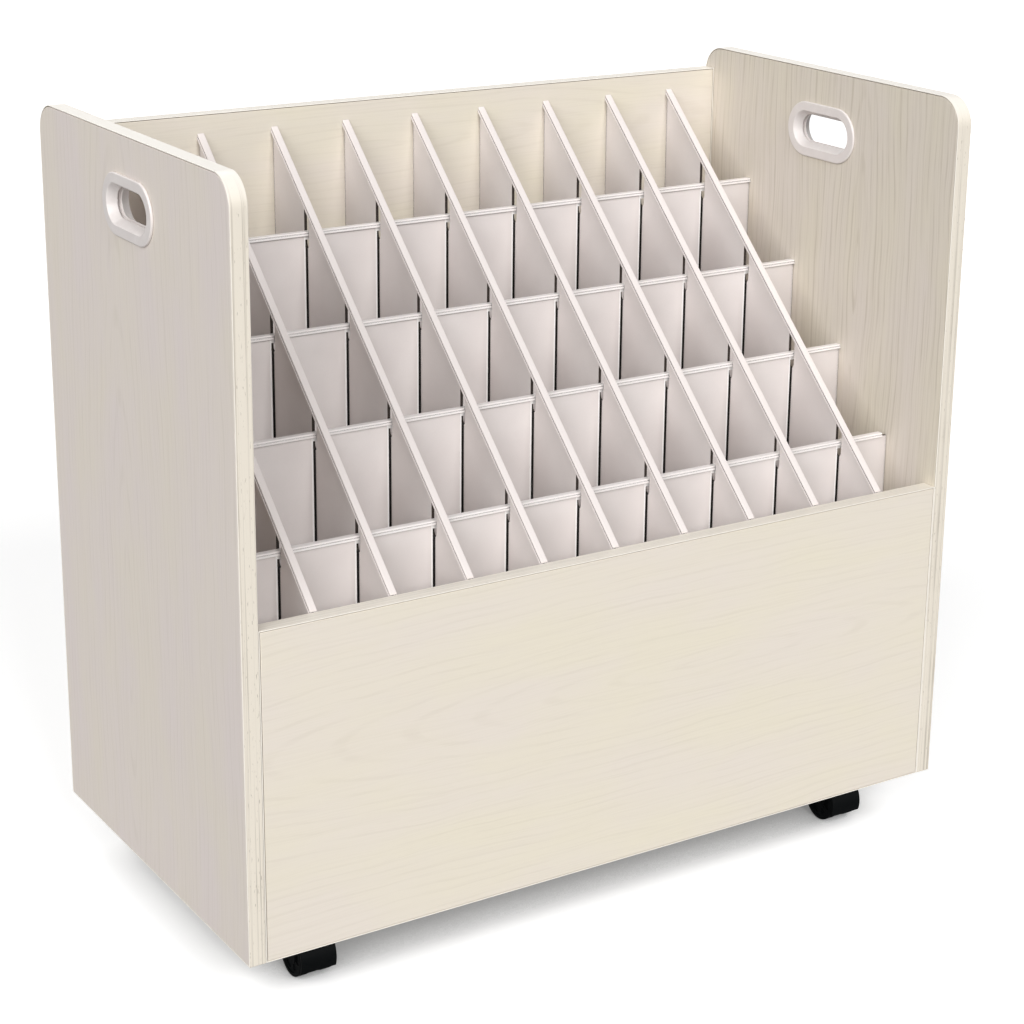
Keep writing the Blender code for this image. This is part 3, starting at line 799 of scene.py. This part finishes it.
class ORGANIZER_OT_mouldings(Operator):
    """Make the edge mouldings of all dividers"""

    bl_idname = "organizer.mouldings"
    bl_label = "Edge mouldings"

    def execute(self, context):
        colours, sizes = context.scene.organizer_colours, context.scene.organizer_sizes
        shade = colours.moulding_shade
        # Draw lines in millimetres
        draw_width, draw_length = 1.6, 300
        # Painted shade: the sloped mouldings take the darker colour all over, to offset the stronger light on
        # their slope
        column_look = extruded_pvc(
            "Extruded PVC, front to back", shade, shade, (draw_width, draw_length, draw_length),
            open_share=0.85)
        row_look = extruded_pvc(
            "Extruded PVC, side to side", colours.moulding, shade,
            (draw_length, draw_width, draw_width), open_share=0.7)
        sloped = self.sloped_moulding(sizes.cap_round)
        for number in COLUMNS:
            node = "column_moulding_{}".format(number)
            piece = twin(sloped, node + "_strip", Matrix.Translation((centre(node).x, 0, 0)))
            fit_out(piece, column_look, "cabinet", "white_moulding", node)
        bpy.data.objects.remove(sloped)
        for number in ROWS:
            node = "row_moulding_{}".format(number)
            low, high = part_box(node)
            piece = moulding(node + "_strip", high.x - low.x, sizes.cap_round)
            place = Matrix.Translation((*centre(node).xy, high.z))
            piece.data.transform(place @ Matrix.Rotation(math.pi / 2, 4, "Z"))
            soften(piece, ARRIS)
            fit_out(piece, row_look, "cabinet", "white_moulding", node)
        return {"FINISHED"}

    def sloped_moulding(self, rounding):
        """Moulding of the middle sloped divider, cut upright at both ends."""
        spare = 0.04
        low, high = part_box("column_moulding_5")
        depth = high.y - low.y
        rise = self.slope(depth, high.z - low.z)
        angle = math.atan(rise)
        item = moulding("column_moulding", depth / math.cos(angle) + spare, rounding)
        place = Matrix.Translation((0, (low.y + high.y) / 2, high.z - rise * depth / 2))
        item.data.transform(place @ Matrix.Rotation(angle, 4, "X"))
        edit(item)
        for end, outward in ((low.y, -1), (high.y, 1)):
            bpy.ops.mesh.select_all(action="SELECT")
            bpy.ops.mesh.bisect(
                plane_co=(0, end, 0), plane_no=(0, outward, 0), use_fill=True, clear_outer=True)
        close()
        soften(item, ARRIS)
        return item

    def slope(self, depth, height):
        """Rise per metre of a strip whose box is higher than its rise by the section's upright depth."""
        section = 0.007
        rise = height / depth
        for _ in range(20):
            rise = (height - section * math.sqrt(1 + rise ** 2)) / depth
        return rise


class ORGANIZER_OT_dividers(Operator):
    """Finish the divider boards of the model"""

    bl_idname = "organizer.dividers"
    bl_label = "Divider boards"

    def execute(self, context):
        colours = context.scene.organizer_colours
        base, shade = colours.fibreboard, colours.fibreboard_shade
        for kind, numbers, across, way in (
                ("column", COLUMNS, "X", "front to back"), ("row", ROWS, "Y", "side to side")):
            look = painted_fibreboard("Painted fibreboard, " + way, base, shade, across)
            for number in numbers:
                refinish("{}_divider_{}".format(kind, number), look)
        return {"FINISHED"}


class ORGANIZER_OT_casters(Operator):
    """Make the hoods, wheels, plates and screws of the casters"""

    bl_idname = "organizer.casters"
    bl_label = "Casters"

    def execute(self, context):
        colours, sizes = context.scene.organizer_colours, context.scene.organizer_sizes
        dust = linear("#181A1B")
        plastic = moulded_plastic(
            "Black nylon of the hoods", colours.caster, dust, grain=1.0, gloss=0.45, shine=0.08, wear=0.08)
        tread = moulded_plastic(
            "Black nylon of the wheels", colours.caster, dust, grain=0.9, gloss=0.50, shine=0.08, wear=0.2)
        steel = zinc_plated_steel("Zinc plated steel", colours.steel, linear("#9EA2A6"))
        hood, wheel = self.hood(), self.wheel()
        plate, screw = self.plate(), self.screw(sizes.screw_head)
        screw_offset, screw_turn = 0.013, 0.4
        for spot in CASTERS:
            prefix = "caster_" + spot
            axis = Matrix.Translation((*centre(prefix + "_plate").xy, 0))
            node = prefix + "_hood"
            piece = twin(hood, node + "_shell", axis)
            fit_out(piece, plastic, prefix + "_swivel", "caster_plastic", node)
            for side, sign in (("left", -1), ("right", 1)):
                node = "{}_wheel_{}".format(prefix, side)
                low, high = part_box(node)
                inner = high.x if sign < 0 else low.x
                place = Matrix.Translation((inner, *centre(node).yz))
                piece = twin(wheel, node + "_tread", place @ Matrix.Rotation(sign * math.pi / 2, 4, "Y"))
                fit_out(piece, tread, node, "caster_plastic", node)
            node = prefix + "_plate"
            piece = twin(plate, node + "_steel", axis)
            fit_out(piece, steel, "cabinet", "caster_steel", node)
            for number, (x, y) in enumerate(((1, 1), (-1, 1), (-1, -1), (1, -1)), 1):
                place = axis @ Matrix.Translation((x * screw_offset, y * screw_offset, 0))
                turn = Matrix.Rotation(screw_turn * number, 4, "Z")
                piece = twin(screw, "{}_screw_{}".format(prefix, number), place @ turn)
                fit_out(piece, steel, "cabinet", "caster_steel")
            refinish(prefix + "_kingpin", steel)
            refinish(prefix + "_axle", steel)
        for pattern in (hood, wheel, plate, screw):
            bpy.data.objects.remove(pattern)
        return {"FINISHED"}

    def hood(self):
        """Hood round the kingpin axis: a fender over both wheels, a web between them and a boss on top."""
        trail, axle_height, rounding = -0.0145, 0.020, 0.0009
        radius, well, half, web, skirt = 0.0237, 0.0212, 0.0175, 0.0054, 0.009
        web_radius, boss_radius, boss_top, bore_bottom = 0.016, 0.009, 0.0475, 0.028
        across = Matrix.Translation((0, trail, axle_height)) @ Matrix.Rotation(math.pi / 2, 4, "Y")
        item = drum("hood", radius, -half, half, HOOD_VERTICES)
        edit(item)
        for sign in (1, -1):
            pick(item, "FACE", lambda face: face.normal.z * sign > 0.9)
            bpy.ops.mesh.inset(thickness=radius - well)
            extrude(z=-sign * (half - web))
        bpy.ops.object.mode_set(mode="OBJECT")
        item.data.transform(across)
        edit(item)
        bpy.ops.mesh.select_all(action="SELECT")
        bpy.ops.mesh.bisect(
            plane_co=(0, 0, axle_height - skirt), plane_no=(0, 0, -1), use_fill=True, clear_outer=True)
        close()
        disc = drum("web", web_radius, -web, web, WEB_VERTICES)
        disc.data.transform(across)
        cut(item, disc, "UNION")
        cut(item, drum("boss", boss_radius, axle_height, boss_top, BOSS_VERTICES), "UNION")
        cut(item, drum("bore", KINGPIN_HOLE, bore_bottom, boss_top + OVERRUN, PIN_VERTICES))
        bore = drum("axle_bore", AXLE_HOLE, -half - OVERRUN, half + OVERRUN, PIN_VERTICES)
        bore.data.transform(across)
        cut(item, bore)
        soften(item, rounding, 3, 45)
        return item

    def wheel(self):
        """One wheel standing on its inner face: rounded tread, six pockets between ribs, and a hub cap."""
        radius, width, tread_round = 0.020, 0.011, 0.002
        rim, dish, ledge, spokes, cap, hole_depth = 0.0036, 0.0012, 0.0016, 0.0068, 0.0010, 0.0085
        pocket_low, pocket_high, draft, pocket_depth = 0.0085, 0.0145, 0.0005, 0.0012
        # Degrees from rib to rib, and of half a rib
        rib_turn, half_rib = 60, 9
        item = drum("wheel", radius, 0, width, WHEEL_VERTICES)
        edit(item)
        pick(item, "FACE", facing((0, 0, 1), width))
        bpy.ops.mesh.inset(thickness=rim)
        extrude(z=-dish)
        bpy.ops.mesh.inset(thickness=ledge)
        bpy.ops.mesh.inset(thickness=spokes)
        extrude(z=cap)

        def in_pocket(face):
            spot = middle(face)
            turn = math.degrees(math.atan2(spot.y, spot.x)) % rib_turn
            on_ring = abs(spot.z - width + dish) < REACH and pocket_low < math.hypot(*spot.xy) < pocket_high
            return on_ring and half_rib < turn < rib_turn - half_rib

        pick(item, "FACE", in_pocket)
        bpy.ops.mesh.inset(thickness=draft)
        extrude(z=-pocket_depth)
        pick(item, "FACE", facing((0, 0, -1), 0))
        bpy.ops.mesh.inset(thickness=radius - AXLE_HOLE)
        extrude(z=hole_depth)
        pick(item, "EDGE", lambda edge: all(
            math.hypot(*vert.co.xy) > radius - REACH and min(vert.co.z, width - vert.co.z) < REACH
            for vert in edge.verts))
        round_over(tread_round, 5)
        close()
        soften(item, ARRIS, 2, 55)
        return item

    def plate(self):
        """Square top plate with rounded corners, round the kingpin axis."""
        half, top, corner, rounding = 0.019, 0.052, 0.005, 0.0005
        item = block("plate", (-half, -half, PLATE_BOTTOM), (half, half, top))
        edit(item)
        pick(item, "EDGE", lambda edge: abs(middle(edge).z - (PLATE_BOTTOM + top) / 2) < REACH)
        round_over(corner, 6)
        close()
        cut(item, drum("kingpin_hole", KINGPIN_HOLE, PLATE_BOTTOM - OVERRUN, top + OVERRUN, PIN_VERTICES))
        soften(item, rounding)
        return item

    def screw(self, radius):
        """Pan head with a cross recess, hanging under the plate."""
        tip, rounding = 0.0474, 0.0013
        arm, arm_half, recess = 0.0021, 0.00045, 0.0009
        item = drum("screw", radius, tip, PLATE_BOTTOM - JOINT, PIN_VERTICES)
        edit(item)
        pick(item, "EDGE", at_height(tip))
        round_over(rounding, 4)
        close()
        for x, y in ((arm, arm_half), (arm_half, arm)):
            cut(item, block("recess", (-x, -y, tip - OVERRUN), (x, y, tip + recess)))
        smooth(item)
        return item


OPERATORS = (
    ORGANIZER_OT_stage, ORGANIZER_OT_panels, ORGANIZER_OT_grips, ORGANIZER_OT_mouldings,
    ORGANIZER_OT_dividers, ORGANIZER_OT_casters,
)


class ORGANIZER_PT_sidebar(Panel):
    """Buttons and settings of the organizer in the 3D view's sidebar"""

    bl_label = "Roll file organizer"
    bl_idname = "ORGANIZER_PT_sidebar"
    bl_space_type = "VIEW_3D"
    bl_region_type = "UI"
    bl_category = "Roll file"

    def draw(self, context):
        layout = self.layout
        for group in (context.scene.organizer_sizes, context.scene.organizer_colours):
            for key in group.__annotations__:
                layout.prop(group, key)
        for operator in OPERATORS:
            layout.operator(operator.bl_idname)


CLASSES = (OrganizerColours, OrganizerSizes, *OPERATORS, ORGANIZER_PT_sidebar)


def register():
    for item in CLASSES:
        bpy.utils.register_class(item)
    bpy.types.Scene.organizer_colours = PointerProperty(type=OrganizerColours)
    bpy.types.Scene.organizer_sizes = PointerProperty(type=OrganizerSizes)


def unregister():
    del bpy.types.Scene.organizer_sizes
    del bpy.types.Scene.organizer_colours
    for item in reversed(CLASSES):
        bpy.utils.unregister_class(item)


def main():
    register()
    bpy.ops.organizer.stage()
    bpy.ops.organizer.panels()
    bpy.ops.organizer.grips()
    bpy.ops.organizer.mouldings()
    bpy.ops.organizer.dividers()
    bpy.ops.organizer.casters()


if __name__ == "__main__":
    main()
